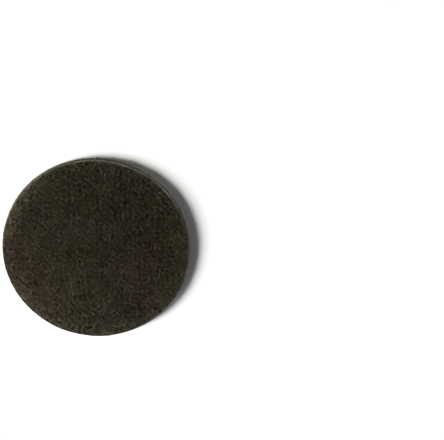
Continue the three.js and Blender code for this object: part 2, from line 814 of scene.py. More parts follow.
def resin_grit_group() -> bpy.types.NodeTree:
    """Builds the abrasive resin's fine speckle, its clumps, its broad shade and its painted shade.

    Returns:
        A group with inputs Place, Dark, Light, Deep, Tint, Depth and Lively, and outputs
        Color, Roughness and Height. Tint lightens a fibre, Depth darkens what lies deep in the
        web as painted shade and turns it towards the hue Deep, and Lively scales resin clumps.
    """
    group, nodes, given, result = new_group(
        "resin_grit",
        {
            "Place": "NodeSocketVector",
            "Dark": "NodeSocketColor",
            "Light": "NodeSocketColor",
            "Deep": "NodeSocketColor",
            "Tint": "NodeSocketFloat",
            "Depth": "NodeSocketFloat",
            "Lively": "NodeSocketFloat",
        },
        {"Color": "NodeSocketColor", "Roughness": "NodeSocketFloat", "Height": "NodeSocketFloat"},
    )
    place = given.outputs["Place"]
    speckle = SPECKLE.height(nodes, place)
    fine = SPECKLE.spread(nodes, speckle)
    clump = nodes.math("MULTIPLY", CLUMPS.mask(nodes, place), given.outputs["Lively"])
    shade = BROAD_SHADE.mask(nodes, place)
    uneven = nodes.math("ADD", nodes.math("ADD", fine, clump), shade)
    share = nodes.math("ADD", given.outputs["Tint"], uneven, clamp=True)
    colour = nodes.mix(share, given.outputs["Dark"], given.outputs["Light"])
    # Painted shade: the deeper a place, the darker, and the more towards the hue Deep.
    kept = nodes.math("MULTIPLY_ADD", given.outputs["Depth"], -PAINTED_SHADE_WITH_DEPTH, 1.0, clamp=True)
    grey = nodes.add("ShaderNodeCombineColor", {0: kept, 1: kept, 2: kept}).outputs[0]
    hue = nodes.mix(kept, given.outputs["Deep"], WHITE)
    painted_shade_colour = nodes.mix(1.0, nodes.mix(1.0, colour, grey, "MULTIPLY"), hue, "MULTIPLY")
    nodes.tree.links.new(painted_shade_colour, result.inputs["Color"])
    roughness = SPECKLE_ROUGHNESS.spread(nodes, speckle)
    nodes.tree.links.new(roughness, result.inputs["Roughness"])
    nodes.tree.links.new(speckle, result.inputs["Height"])
    return group


class Effects:
    """The node groups that more than one finish uses, each built once."""

    def __init__(self) -> None:
        """Builds the groups."""
        self.soft_patch = soft_patch_group()
        self.resin_grit = resin_grit_group()

    def patch(self, nodes: Nodes, place: object, oval: "Oval") -> bpy.types.NodeSocket:
        """Places one soft patch in a material and returns its mask.

        Args:
            nodes: The material's nodes.
            place: Object coordinates.
            oval: Where the patch lies and how ragged it is.

        Returns:
            The mask from 0 to 1.
        """
        given = {
            "Place": place,
            "Centre": (oval.centre[0], oval.centre[1], 0.0),
            "Turn": (0.0, 0.0, oval.turn),
            "Reach": (oval.reach[0], oval.reach[1], 1.0),
            "Ragged": oval.ragged,
            "Grain": oval.grain,
            "Soft": oval.soft,
        }
        return nodes.add("ShaderNodeGroup", given, node_tree=self.soft_patch).outputs["Mask"]


@dataclass(frozen=True)
class Oval:
    """One oval patch on a face: centre, half sizes and turn, with the raggedness of its rim."""

    centre: tuple[float, float]
    reach: tuple[float, float]
    turn: float = 0.0
    ragged: float = 1.2
    grain: float = 90.0
    soft: float = 0.2


def new_material(name: str) -> tuple[bpy.types.Material, Nodes, bpy.types.Node]:
    """Starts a material with one Principled shader.

    Args:
        name: Name of the material.

    Returns:
        The material, its Nodes helper and its Principled shader.
    """
    material = bpy.data.materials.new(name)
    material.use_nodes = True
    nodes = Nodes(material.node_tree)
    return material, nodes, material.node_tree.nodes["Principled BSDF"]


def finish_shader(
    nodes: Nodes,
    shader: bpy.types.Node,
    colour: bpy.types.NodeSocket,
    grit: bpy.types.Node,
    bump: tuple[float, float],
    gloss: float,
) -> None:
    """Feeds a colour and the grit's roughness and height to a material's shader.

    Args:
        nodes: The material's nodes.
        shader: Its Principled shader.
        colour: The base colour.
        grit: The node of the resin_grit group.
        bump: Strength of the bumps, and their height in metres.
        gloss: Specular level.
    """
    given = {"Strength": bump[0], "Distance": bump[1], "Height": grit.outputs["Height"]}
    relief = nodes.add("ShaderNodeBump", given)
    nodes.tree.links.new(colour, shader.inputs["Base Color"])
    nodes.tree.links.new(grit.outputs["Roughness"], shader.inputs["Roughness"])
    nodes.tree.links.new(relief.outputs["Normal"], shader.inputs["Normal"])
    shader.inputs["Specular IOR Level"].default_value = gloss


# Finishes


@dataclass(frozen=True)
class ResinFinish:
    """Dark abrasive resin on web fibres, with patches of other hues over the face.

    The resin runs from dark to light. The other colours are factors: deep for the painted shade of
    what lies deep in the web, olive and plum for the drift over the whole face, painted_highlight
    for the painted highlight towards the rim and on the lit edge, warm and cool for the patch of
    the same name, and edge_highlight for the painted highlight on the patch of the same name.
    """

    name: str
    dark: Rgb
    light: Rgb
    bump: float
    gloss: float = 0.05
    bump_height: float = 0.05 * MM
    # Hue of the painted shade deep in the web.
    deep: Rgb = (1.1, 1.0, 0.3)
    warm: Rgb = (1.17, 0.955, 1.0)
    cool: Rgb = (1.11, 0.96, 1.2)
    olive: Rgb = (0.975, 1.0, 0.88)
    plum: Rgb = (1.08, 0.97, 1.1)
    # Factors for painted highlights: towards the rim, and on the rim's patch on the key light's
    # side.
    painted_highlight: Rgb = (1.8, 1.83, 2.1)
    edge_highlight: Rgb = (2.15, 2.12, 2.3)
    warm_patch: Oval = Oval((0.041, 0.03), (0.012, 0.037), 0.78, 2.6, 110.0, 0.8)
    cool_patch: Oval = Oval((-0.0275, -0.004), (0.023, 0.055), 0.23, 1.9, 75.0, 0.55)
    # A painted highlight on the rim, on the key light's side.
    edge_highlight_patch: Oval = Oval((0.0665, -0.019), (0.0135, 0.052), -0.33, 1.4, 130.0, 0.6)

    def build(self, effects: Effects) -> bpy.types.Material:
        """Builds the material.

        Args:
            effects: The shared node groups.

        Returns:
            The material, which reads the attributes tint, depth, worn and lively.
        """
        material, nodes, shader = new_material(self.name)
        place = nodes.place()
        given = {
            "Place": place,
            "Dark": opaque(self.dark),
            "Light": opaque(self.light),
            "Deep": opaque(self.deep),
            "Tint": nodes.attribute("tint"),
            # Depth is painted shade, from how deep each place lies.
            "Depth": nodes.attribute("depth"),
            "Lively": nodes.attribute("lively"),
        }
        grit = nodes.add("ShaderNodeGroup", given, node_tree=effects.resin_grit)
        hues = nodes.mix(HUE_DRIFT.mask(nodes, place), opaque(self.olive), opaque(self.plum))
        colour = nodes.mix(1.0, grit.outputs["Color"], hues, "MULTIPLY")
        # Painted highlight towards the rim and on the lit edge.
        colour = nodes.mix(nodes.attribute("painted_highlight"), colour, opaque(self.painted_highlight), "MULTIPLY")
        # Warm and cool are patches of hue; the edge highlight patch is a painted highlight.
        for oval, hue in (
            (self.warm_patch, self.warm),
            (self.cool_patch, self.cool),
            (self.edge_highlight_patch, self.edge_highlight),
        ):
            mask = effects.patch(nodes, place, oval)
            colour = nodes.mix(mask, colour, opaque(hue), "MULTIPLY")
        finish_shader(nodes, shader, colour, grit, (self.bump, self.bump_height), self.gloss)
        return material


@dataclass(frozen=True)
class ClothFinish:
    """Warm grey backing cloth, dark where the web's resin came through, pale where it was cut.

    The shade and the shine are factors on the yarn's colour, for its darkest and lightest places.
    """

    name: str
    yarn: Rgb
    resin: Rgb
    cut: Rgb
    bump: float
    shade: float = 0.42
    shine: float = 2.5
    lively: float = 1.4
    gloss: float = 0.3
    bump_height: float = 0.08 * MM
    stain_on_top: float = 0.82
    stain_with_depth: float = 0.3
    patches: tuple[Oval, ...] = (
        Oval((-0.008, -0.013), (0.01, 0.02), 0.9, 4.5, 150.0),
        Oval((0.041, 0.006), (0.016, 0.03), -0.15, 4.5, 140.0),
        Oval((-0.027, 0.033), (0.022, 0.014), 0.3, 4.5, 145.0),
        Oval((0.026, -0.046), (0.016, 0.008), 0.5, 4.0, 160.0),
    )

    def build(self, effects: Effects) -> bpy.types.Material:
        """Builds the material.

        Args:
            effects: The shared node groups.

        Returns:
            The material, which reads the attributes tint, depth and cut.
        """
        material, nodes, shader = new_material(self.name)
        place = nodes.place()
        stain: object = 0.0
        for oval in self.patches:
            stain = nodes.math("MAXIMUM", stain, effects.patch(nodes, place, oval))
        stain = nodes.math("MULTIPLY", stain, BLOTS.mask(nodes, place))
        stain = nodes.math("MAXIMUM", stain, SMEARS.mask(nodes, place))
        terms = (nodes.attribute("depth"), self.stain_with_depth, self.stain_on_top)
        soaked = nodes.math("MULTIPLY_ADD", *terms, clamp=True)
        stain = nodes.math("MULTIPLY", stain, soaked)
        given = {
            "Place": place,
            "Dark": opaque(self.yarn, self.shade),
            "Light": opaque(self.yarn, self.shine),
            "Deep": WHITE,
            "Tint": nodes.attribute("tint"),
            # Depth adds painted shade where the cloth lies deep.
            "Depth": nodes.attribute("depth"),
            "Lively": self.lively,
        }
        grit = nodes.add("ShaderNodeGroup", given, node_tree=effects.resin_grit)
        stained = nodes.mix(stain, grit.outputs["Color"], opaque(self.resin))
        colour = nodes.mix(nodes.attribute("cut"), stained, opaque(self.cut))
        finish_shader(nodes, shader, colour, grit, (self.bump, self.bump_height), self.gloss)
        return material


@dataclass(frozen=True)
class FloorFinish:
    """Plain pale matt floor with a hardly visible mottle."""

    pale: Rgb = (0.93, 0.93, 0.925)
    mottle: float = 0.985
    mottle_scale: float = 9.0
    roughness: float = 0.85
    gloss: float = 0.2

    def build(self) -> bpy.types.Material:
        """Builds the material.

        Returns:
            The floor's material.
        """
        material, nodes, shader = new_material("studio_floor")
        share = nodes.noise(nodes.place(), self.mottle_scale, 2.0)
        colour = nodes.mix(share, opaque(self.pale), opaque(self.pale, self.mottle))
        nodes.tree.links.new(colour, shader.inputs["Base Color"])
        shader.inputs["Roughness"].default_value = self.roughness
        shader.inputs["Specular IOR Level"].default_value = self.gloss
        return material


# The abrasive web, whose lengths are in metres and whose tint and depth run from 0 to 1


class FibreLayer(Enum):
    """The layers of face fibres: piece name, seed, span of depths, and lift of tint, a painted
    shade by layer.
    """

    TOP = ("fibres_top", 100, (0.0, 0.14 * MM), 0.1)
    MIDDLE = ("fibres_middle", 101, (0.1 * MM, 0.34 * MM), 0.02)
    DEEP = ("fibres_deep", 102, (0.26 * MM, 0.58 * MM), -0.06)


@dataclass(frozen=True)
class WebBody:
    """The felted body of the web, which lies under its fibres."""

    sizes: DiscSizes
    cells: int = 176
    sink: float = 0.42 * MM
    wall_sink: float = 0.26 * MM
    wave: float = 0.07 * MM
    hollow: float = 0.16 * MM
    hollow_start: float = 0.5
    edge_turns: tuple[float, ...] = (22.0, 45.0, 68.0, 90.0)
    wall_rings: int = 8
    rings_to_fade: int = 3
    tint: float = 0.3
    # Painted shade of the body: more in the pores, where the waves run low and in the wall's
    # hollows.
    face_shade: float = 0.5
    face_shade_swing: float = 0.18
    wall_shade: float = 0.35
    wall_shade_swing: float = 0.16
    hollow_shade: float = 0.5
    wall_grain: Ripples = Ripples(12, waves=40, shortest=0.7 * MM, longest=1.9 * MM, stretch=2.6)

    def wall(self, angle: np.ndarray, rim_height: np.ndarray) -> tuple[np.ndarray, np.ndarray]:
        """Makes the wall's rings, round the face's edge and down to the cloth.

        A ring lies at the wall reach less a sink, plus waves that are long around the disc and
        short in height, less hollows where those waves run low. Over the first rings the waves
        fade in, and the heights ease away from the face's uneven rim.

        Args:
            angle: Angles of the face's rim points in radians.
            rim_height: Heights of the same points in metres.

        Returns:
            The rings, (rows, points around, 3), and how much painted shade each of their points
            gets, 0 to 1.
        """
        sizes = self.sizes
        top = sizes.face_height - self.sink
        turn = np.radians(self.edge_turns)
        edge = top - sizes.face_edge * (1 - np.cos(turn))
        straight = np.linspace(top - sizes.face_edge, sizes.cloth_top, self.wall_rings + 1)[1:]
        heights = np.concatenate((edge, straight))[:, None]
        reach = sizes.wall_reach(angle[None, :], heights)
        reach[: len(turn)] -= sizes.face_edge * (1 - np.sin(turn))[:, None]
        rough = self.wall_grain.at(sizes.radius * angle + 0 * heights, heights + 0 * angle)
        hollow = np.clip(-rough - self.hollow_start, 0.0, 2.0)
        fade = np.clip(np.arange(len(heights))[:, None] / self.rings_to_fade, 0.0, 1.0)
        reach = reach - self.wall_sink + fade * (self.wave * rough - self.hollow * hollow)
        level = heights + (rim_height - top) * (1 - fade)
        rings = np.stack((reach * np.cos(angle), reach * np.sin(angle), level), axis=-1)
        # Painted shade: darker in the hollows and where the waves run low.
        depth = self.wall_shade - self.wall_shade_swing * rough + self.hollow_shade * hollow
        return rings, np.clip(depth, 0.0, 1.0)

    def surface(self) -> Surface:
        """Makes the body. Its face is the face level less a sink, plus fine waves, less the pores.

        Returns:
            A closed surface with the values tint, depth, worn and lively.
        """
        sizes = self.sizes
        x, y = disc_grid(self.cells, sizes.radius - sizes.face_edge)
        fine = sizes.felting(x, y)
        pores = sizes.pores(x, y)
        lively = sizes.liveliness(x, y)
        z = sizes.face_level(x, y) - self.sink + self.wave * fine - pores
        rim = rim_order(self.cells)
        rings, wall_shade = self.wall(np.arctan2(y.ravel()[rim], x.ravel()[rim]), z.ravel()[rim])
        centre = np.array([0.0, 0.0, sizes.cloth_top])
        face = np.stack((x, y, z), axis=-1)
        points, corners, counts = closed_disc(face, rings, centre, up=True)
        # Painted shade: darker in the pores and where the fine waves run low.
        uneven = pores / sizes.pore_depth - self.face_shade_swing * fine
        face_shade = np.clip(self.face_shade + lively * uneven, 0.0, 1.0)
        beyond = len(points) - x.size
        values = {
            "tint": np.full(len(points), self.tint),
            "depth": np.concatenate((face_shade.ravel(), wall_shade.ravel(), [1.0])),
            "painted_highlight": np.concatenate((sizes.rim_highlight(x, y).ravel(), np.zeros(beyond))),
            "lively": np.concatenate((lively.ravel(), np.ones(beyond))),
        }
        return Surface(points, corners, counts, values)


@dataclass(frozen=True)
class FaceFibres:
    """One layer of crimped fibres on the sanding face.

    The tint numbers tell how light a fibre is: the least tint, less a drop, plus a random spread,
    with extras for bundles and, as a painted highlight, towards the lip.
    """

    sizes: DiscSizes
    layer: FibreLayer
    count: int = 4000
    spare_routes: float = 5.0
    steps: int = 7
    map_columns: int = 20
    start_margin: float = 5.0 * MM
    trimmed: Span = (0.0, 0.25 * MM)
    lengths: Lengths = Lengths(shape=6.0, scale=1.0 * MM, least=2.4 * MM, most=12.0 * MM)
    crimp_length: Span = (2.4 * MM, 4.8 * MM)
    crimp_swing: Span = (0.2, 0.85)
    bend: float = 0.8
    weave: Sway = Sway(turns=(1.0, 2.4), swing=(0.05 * MM, 0.2 * MM))
    dive: Span = (0.1 * MM, 0.5 * MM)
    follow_pores: float = 0.8
    proud: float = 0.05 * MM
    radius: Span = (0.052 * MM, 0.094 * MM)
    bundle_share: float = 0.9
    bundle_extra: float = 0.8
    tint: float = 0.22
    tint_drop: float = 0.21
    tint_spread: float = 0.3
    bundle_tint: float = 0.62
    lip_highlight_tint: float = 0.15
    deepest: float = 0.6 * MM
    usual_shade: float = 0.35

    def routes(self, rng: np.random.Generator, count: int) -> tuple[np.ndarray, np.ndarray]:
        """Draws fibre routes in plan, cut off where they cross the rim.

        A route starts anywhere on the face or a little outside it. Its heading is a start heading,
        plus a steady bend, plus a sine crimp, and its points are the running sum of steps along
        that heading.

        Args:
            rng: Seeded random numbers.
            count: How many routes to draw.

        Returns:
            x and y as (routes, steps), for the routes with a long enough stretch inside.
        """
        fine_steps = 4 * self.steps
        x, y = scatter(rng, self.sizes.radius + self.start_margin, count)
        length = self.lengths.draw(rng, count)
        heading = draw(rng, ANY_ANGLE, count)
        share = np.linspace(0.0, 1.0, fine_steps)[None, :]
        bend = rng.normal(0.0, self.bend, (count, 1)) * share
        turns = length / draw(rng, self.crimp_length, count) * share
        swing = draw(rng, self.crimp_swing, count)
        crimp = swing * np.sin(FULL_TURN * (turns + draw(rng, ANY_SHARE, count)))
        x, y = walk(x, y, heading + bend + crimp, length)
        inside = np.hypot(x, y) <= self.sizes.radius - draw(rng, self.trimmed, count)
        return self.first_stretch(x, y, inside)

    def first_stretch(
        self, x: np.ndarray, y: np.ndarray, inside: np.ndarray
    ) -> tuple[np.ndarray, np.ndarray]:
        """Keeps each route's first stretch inside the rim, and spreads it over the same steps.

        So the cover is even right up to the rim. Routes with a very short stretch are dropped.

        Args:
            x: Places in metres, (count, fine steps).
            y: Places in metres, (count, fine steps).
            inside: True where a place lies inside the rim.

        Returns:
            x and y as (routes, steps).
        """
        fine_steps = x.shape[1]
        first = np.argmax(inside, axis=1)
        left_again = ~inside & (np.arange(fine_steps)[None, :] > first[:, None])
        last = np.where(left_again.any(axis=1), np.argmax(left_again, axis=1), fine_steps) - 1
        whole = inside.any(axis=1) & (last - first >= fine_steps // 5)
        x, y, first, last = x[whole], y[whole], first[whole][:, None], last[whole][:, None]
        spot = first + (last - first) * np.linspace(0.0, 1.0, self.steps)[None, :]
        low = np.minimum(spot.astype(int), fine_steps - 2)
        part = spot - low
        rows = np.arange(len(x))[:, None]
        x = x[rows, low] * (1 - part) + x[rows, low + 1] * part
        y = y[rows, low] * (1 - part) + y[rows, low + 1] * part
        return x, y

    def surface(self) -> Surface:
        """Makes the layer.

        A fibre's height is the face level, less its depth, plus a sine weave through the layer,
        less a dive at both ends that grows with the sixth power of the distance from its middle. A
        small share of the fibres are bundles, which are thicker and paler. The deeper a fibre lies,
        the more painted shade it gets, and near the rim it gets a painted highlight.

        Returns:
            Closed three-sided tubes with the values tint, depth, worn and lively.
        """
        sizes = self.sizes
        _, seed, depths, lift = self.layer.value
        rng = np.random.default_rng(seed)
        spare = self.spare_routes * self.start_margin / sizes.radius
        drawn = int(self.count * (1 + spare))
        x, y = (places[: self.count] for places in self.routes(rng, drawn))
        count = len(x)
        share = np.linspace(0.0, 1.0, self.steps)[None, :]
        lip = sizes.lip(x, y)
        depth = draw(rng, depths, count)
        weave = self.weave.draw(rng, share, count)
        dive = draw(rng, self.dive, count) * np.abs(2 * share - 1) ** 6 * (1 - lip)
        level = sizes.face_level(x, y)
        sunk = depth - weave + dive + self.follow_pores * sizes.pores(x, y)
        z = level - np.maximum(sunk, -self.proud)
        pale = draw(rng, ANY_SHARE, count)
        bundle = pale > self.bundle_share
        radii = (1.0 + self.bundle_extra * bundle) * draw(rng, self.radius, count) + 0 * share
        lively = sizes.liveliness(x, y)
        spread = self.tint_spread * pale + self.bundle_tint * bundle - self.tint_drop
        # The lip tint is a painted highlight; the layer's lift is painted shade, lower for deeper
        # layers.
        tint = lift + self.tint + lively * spread + self.lip_highlight_tint * lip
        # Painted shade: the deeper a fibre lies under the face level, the darker.
        under = (level - z) / self.deepest - self.usual_shade
        values = {
            "tint": np.clip(tint, 0.0, 1.0),
            "depth": np.clip(self.usual_shade + lively * under, 0.0, 1.0),
            "painted_highlight": sizes.rim_highlight(x, y),
            "lively": lively,
        }
        points = tubes(np.stack((x, y, z), axis=-1), radii, sides=3)
        return tube_surface(points, self.map_columns, values)


@dataclass(frozen=True)
class WallFibres:
    """The fibres that show on the punched wall and round its lip.

    The band is the top of the wall, which is painted pale as a highlight along an arc. The lip
    gets a faint painted highlight all round, where it leans between two angles.
    """

    sizes: DiscSizes
    seed: int = 200
    count: int = 3000
    steps: int = 7
    map_columns: int = 20
    lengths: Lengths = Lengths(shape=4.0, scale=0.95 * MM, least=1.2 * MM, most=9.0 * MM)
    slope: float = 0.34
    lowest: float = 0.12 * MM
    past_edge: float = 0.3 * MM
    crimp: Sway = Sway(turns=(0.5, 1.8), swing=(0.03 * MM, 0.24 * MM))
    weave: Sway = Sway(turns=(0.6, 1.7), swing=(0.02 * MM, 0.13 * MM))
    sink: Span = (0.0, 0.24 * MM)
    dive: float = 0.25 * MM
    proud: float = 0.06 * MM
    deepest: float = 0.6 * MM
    radius: Span = (0.045 * MM, 0.08 * MM)
    # Painted highlight on the wall's top band along the highlight arc, and faintly on the lip.
    band_height: float = 1.8 * MM
    band_start: float = 3.51 * MM
    edge_highlight_most: float = 0.7
    lip_highlight: float = 0.12
    lip_leans: Span = (0.2, 1.0)
    crowding: float = 0.8
    tint: float = 0.2
    tint_spread: float = 0.5
    bright_share: float = 0.88
    bright_tint: float = 0.3
    edge_highlight_tint: float = 0.35

    def surface(self) -> Surface:
        """Makes the fibres.

        A fibre runs around the wall at a small slope: its angle grows with its length over the
        radius, and its climb up the profile with the slope and a sine crimp. It lies under the
        profile by its own sink, less a sine weave, plus a dive at both ends. Along the highlight
        arc, a band at the top of the wall is painted pale as a highlight, with less painted shade
        there.
        Elsewhere the deeper a fibre lies, the more painted shade it gets.

        Returns:
            Closed three-sided tubes with the values tint, depth, worn and lively.
        """
        sizes, count = self.sizes, self.count
        rng = np.random.default_rng(self.seed)
        share = np.linspace(0.0, 1.0, self.steps)[None, :]
        length = self.lengths.draw(rng, count)
        slope = rng.normal(0.0, self.slope, (count, 1))
        top = sizes.wall_climb()
        base = self.lowest + (top - self.lowest) * draw(rng, ANY_SHARE, count) ** self.crowding
        climb = base + slope * length * (share - 0.5) + self.crimp.draw(rng, share, count)
        climb = np.clip(climb, self.lowest, top + self.past_edge)
        weave = self.weave.draw(rng, share, count)
        under = draw(rng, self.sink, count) - weave + self.dive * np.abs(2 * share - 1) ** 6
        under = np.maximum(under, -self.proud)
        inset, height, lean = sizes.around_lip(climb)
        angle = draw(rng, ANY_ANGLE, count) + length * share / sizes.radius
        reach = sizes.wall_reach(angle, height) - inset - under * np.cos(lean)
        height = height - under * np.sin(lean)
        paths = np.stack((reach * np.cos(angle), reach * np.sin(angle), height), axis=-1)
        radii = draw(rng, self.radius, count) + 0 * share
        pale = draw(rng, ANY_SHARE, count)
        # Painted highlight: the top band along the highlight arc, and the leaning lip.
        band = smooth_step((height - sizes.face_height + self.band_start) / self.band_height)
        start, end = self.lip_leans
        lit_lip = self.lip_highlight * smooth_step((lean - start) / (end - start))
        edge_highlight = band * sizes.highlight_arc(angle) + lit_lip
        painted_highlight = self.edge_highlight_most * np.minimum(edge_highlight, 1.0)
        bright = self.bright_tint * (pale > self.bright_share)
        tint = self.tint + self.tint_spread * pale + bright + self.edge_highlight_tint * edge_highlight
        # Painted shade grows with how deep a fibre lies, and fades under the painted highlight.
        values = {
            "tint": np.clip(tint, 0.0, 1.0),
            "depth": np.clip(under / self.deepest, 0.0, 1.0) * (1.0 - painted_highlight),
            "painted_highlight": painted_highlight,
            "lively": 1.0 + 0 * painted_highlight,
        }
        return tube_surface(tubes(paths, radii, sides=3), self.map_columns, values)


@dataclass(frozen=True)
class StrayFibres:
    """The few loose fibre ends that stand out of the wall and the face's edge."""

    sizes: DiscSizes
    seed: int = 300
    count: int = 520
    steps: int = 5
    map_columns: int = 12
    lengths: Lengths = Lengths(shape=2.5, scale=0.28 * MM, least=0.3 * MM, most=2.2 * MM)
    above_cloth: float = 0.3 * MM
    below_face: float = 0.1 * MM
    root: float = 0.55 * MM
    hidden: float = 0.3 * MM
    lowest: float = 0.1 * MM
    sideways: float = 0.9
    rise: Span = (0.1, 0.45)
    radius: Span = (0.03 * MM, 0.055 * MM)
    taper: float = 0.5
    tint: Span = (0.2, 0.9)

    def surface(self) -> Surface:
        """Makes the loose ends.

        Each starts inside the wall and runs outwards, bending sideways and up or down with the
        square of its length. The rise is a mean and a spread.

        Returns:
            Closed three-sided tubes with the values tint, depth and lively.
        """
        sizes, count = self.sizes, self.count
        rng = np.random.default_rng(self.seed)
        share = np.linspace(0.0, 1.0, self.steps)[None, :]
        start = draw(rng, ANY_ANGLE, count)
        wall = (sizes.cloth_top + self.above_cloth, sizes.face_height - self.below_face)
        base = draw(rng, wall, count)
        length = self.lengths.draw(rng, count)
        sideways = rng.normal(0.0, self.sideways, (count, 1)) * length * share**2
        rise = rng.normal(*self.rise, (count, 1)) * length * share**2
        reach = sizes.radius - self.root + (length + self.hidden) * share
        angle = start + sideways / sizes.radius
        height = np.maximum(base + rise, self.lowest)
        paths = np.stack((reach * np.cos(angle), reach * np.sin(angle), height), axis=-1)
        radii = draw(rng, self.radius, count) * (1 - self.taper * share)
        tint = draw(rng, self.tint, count) + 0 * share
        values = {"tint": tint, "depth": 0 * tint, "lively": 1.0 + 0 * tint}
        return tube_surface(tubes(paths, radii, sides=3), self.map_columns, values)


@dataclass(frozen=True)
class ResinBeads:
    """The beads of abrasive resin that sit where fibres cross."""

    sizes: DiscSizes
    seed: int = 400
    count: int = 1900
    margin: float = 0.4 * MM
    sink: Span = (0.04 * MM, 0.4 * MM)
    deepest: float = 0.6 * MM
    half_size: Span = (0.08 * MM, 0.2 * MM)
    stretch: tuple[float, float, float] = (1.3, 0.9, 0.7)
    tint: Span = (0.0, 0.75)

    def surface(self) -> Surface:
        """Makes the beads: octahedra, stretched and turned at random about +Z, just sunk in.

        An octahedron has a belt of four tips and one tip above and below it. Each tip of the belt
        makes an upper and a lower face with the next one.

        Returns:
            Closed eight-faced beads with the values tint, depth and lively.
        """
        rng = np.random.default_rng(self.seed)
        count = self.count
        x, y = scatter(rng, self.sizes.radius - self.margin, count)
        sink = draw(rng, self.sink, count)
        z = self.sizes.face_level(x, y) - sink
        belt = np.array([[1, 0, 0], [0, 1, 0], [-1, 0, 0], [0, -1, 0]])
        tips = np.vstack((belt, [[0, 0, 1], [0, 0, -1]])).astype(float)
        turn = draw(rng, ANY_ANGLE, count)
        size = rng.uniform(*self.half_size, (count, 1, 3)) * self.stretch
        local = tips[None, :, :] * size
        cos, sin = np.cos(turn), np.sin(turn)
        turned = (
            x + local[:, :, 0] * cos - local[:, :, 1] * sin,
            y + local[:, :, 0] * sin + local[:, :, 1] * cos,
            z + local[:, :, 2],
        )
        here = np.arange(4)
        following = np.roll(here, -1)
        upper = np.stack((here, following, np.full(4, 4)), axis=-1)
        lower = np.stack((following, here, np.full(4, 5)), axis=-1)
        faces = np.vstack((upper, lower))
        corners = (len(tips) * np.arange(count)[:, None, None] + faces).ravel()
        tint = np.repeat(draw(rng, self.tint, count), len(tips))
        # Painted shade: the deeper a bead sits, the darker.
        depth = np.repeat(sink / self.deepest, len(tips))
        values = {"tint": tint, "depth": depth, "lively": 1.0 + 0 * tint}
        points = np.stack(turned, axis=-1).reshape(-1, 3)
        return Surface(points, corners, np.full(len(faces) * count, 3), values)


@dataclass(frozen=True)
class AbrasiveWeb:
    """The web of crimped fibres: a felted body, the fibres on its face and wall, and the beads."""

    sizes: DiscSizes
    felt: ResinFinish = ResinFinish(
        "web_felt", dark=(0.0066, 0.0054, 0.0019), light=(0.0475, 0.0425, 0.0265), bump=0.6
    )
    fibre: ResinFinish = ResinFinish(
        "web_fibre", dark=(0.0053, 0.0043, 0.0011), light=(0.0846, 0.0787, 0.0592), bump=0.35
    )
    bead: ResinFinish = ResinFinish(
        "web_bead", dark=(0.006, 0.0054, 0.0034), light=(0.075, 0.069, 0.043), bump=0.2, gloss=0.4
    )
    cut: ResinFinish = ResinFinish(
        "web_cut",
        dark=(0.014, 0.0121, 0.0087),
        light=(0.19, 0.17, 0.138),
        bump=0.35,
        gloss=0.1,
        deep=(1.02, 1.0, 0.92),
        warm=(1.05, 0.99, 0.97),
        cool=(1.0, 0.99, 1.04),
        olive=(0.98, 1.0, 0.96),
        plum=(1.01, 0.99, 1.03),
        painted_highlight=(1.6, 1.66, 1.72),
        edge_highlight=(1.2, 1.21, 1.22),
    )

    def build(self, effects: Effects) -> list[bpy.types.Object]:
        """Builds and dresses the web.

        Args:
            effects: The shared node groups.

        Returns:
            The web's pieces, the one that replaces the CAD solid first.
        """
        sizes = self.sizes
        fibre = self.fibre.build(effects)
        pieces = [WebBody(sizes).surface().build("web_body", self.felt.build(effects))]
        for layer in FibreLayer:
            pieces.append(FaceFibres(sizes, layer).surface().build(layer.value[0], fibre))
        cut = self.cut.build(effects)
        pieces.append(WallFibres(sizes).surface().build("fibres_wall", cut))
        pieces.append(StrayFibres(sizes).surface().build("fibres_stray", fibre))
        bead = self.bead.build(effects)
        pieces.append(ResinBeads(sizes).surface().build("resin_beads", bead))
        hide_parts("abrasive_web")
        return pieces


# The backing cloth


class Yarns(Enum):
    """The two sets of yarns: piece name, seed, axis they run along, start of the wave."""

    WARP = ("scrim_warp", 500, 0, 0.0)
    WEFT = ("scrim_weft", 501, 1, math.pi)


@dataclass(frozen=True)
class ScrimBody:
    """The resin body that fills the weave."""

    sizes: DiscSizes
    cells: int = 72
    inset: float = 0.16 * MM
    level: float = 0.2 * MM
    wave: float = 0.02 * MM
    waves: Ripples = Ripples(seed=21, waves=30, shortest=2.5 * MM, longest=9 * MM)
    wall_shares: tuple[float, ...] = (0.3, 0.65, 1.0)
    wall_bulge: float = 0.05 * MM
    tint: float = 0.24
    # Painted shade of the resin body, which lies under the yarns.
    depth: float = 0.3
    cut: float = 0.85

    def surface(self) -> Surface:
        """Makes the body.

        Its outer face lies a little under the yarns, with waves, and its wall goes straight up to
        the web with a slight bulge.

        Returns:
            A closed surface with the values tint, depth and cut.
        """
        sizes = self.sizes
        inner = sizes.radius - self.inset
        x, y = disc_grid(self.cells, inner)
        z = self.level + self.wave * self.waves.at(x, y)
        rim = rim_order(self.cells)
        angle = np.arctan2(y.ravel()[rim], x.ravel()[rim])[None, :]
        share = np.array(self.wall_shares)[:, None]
        reach = inner + self.wall_bulge * np.sin(math.pi * share) + 0 * angle
        height = z.ravel()[rim] * (1 - share) + sizes.cloth_top * share
        rings = np.stack((reach * np.cos(angle), reach * np.sin(angle), height), axis=-1)
        centre = np.array([0.0, 0.0, sizes.cloth_top])
        face = np.stack((x, y, z), axis=-1)
        points, corners, counts = closed_disc(face, rings, centre, up=False)
        beyond = len(points) - x.size
        values = {
            "tint": np.full(len(points), self.tint),
            "depth": np.full(len(points), self.depth),
            "cut": np.concatenate((np.zeros(x.size), np.full(beyond, self.cut))),
        }
        return Surface(points, corners, counts, values)


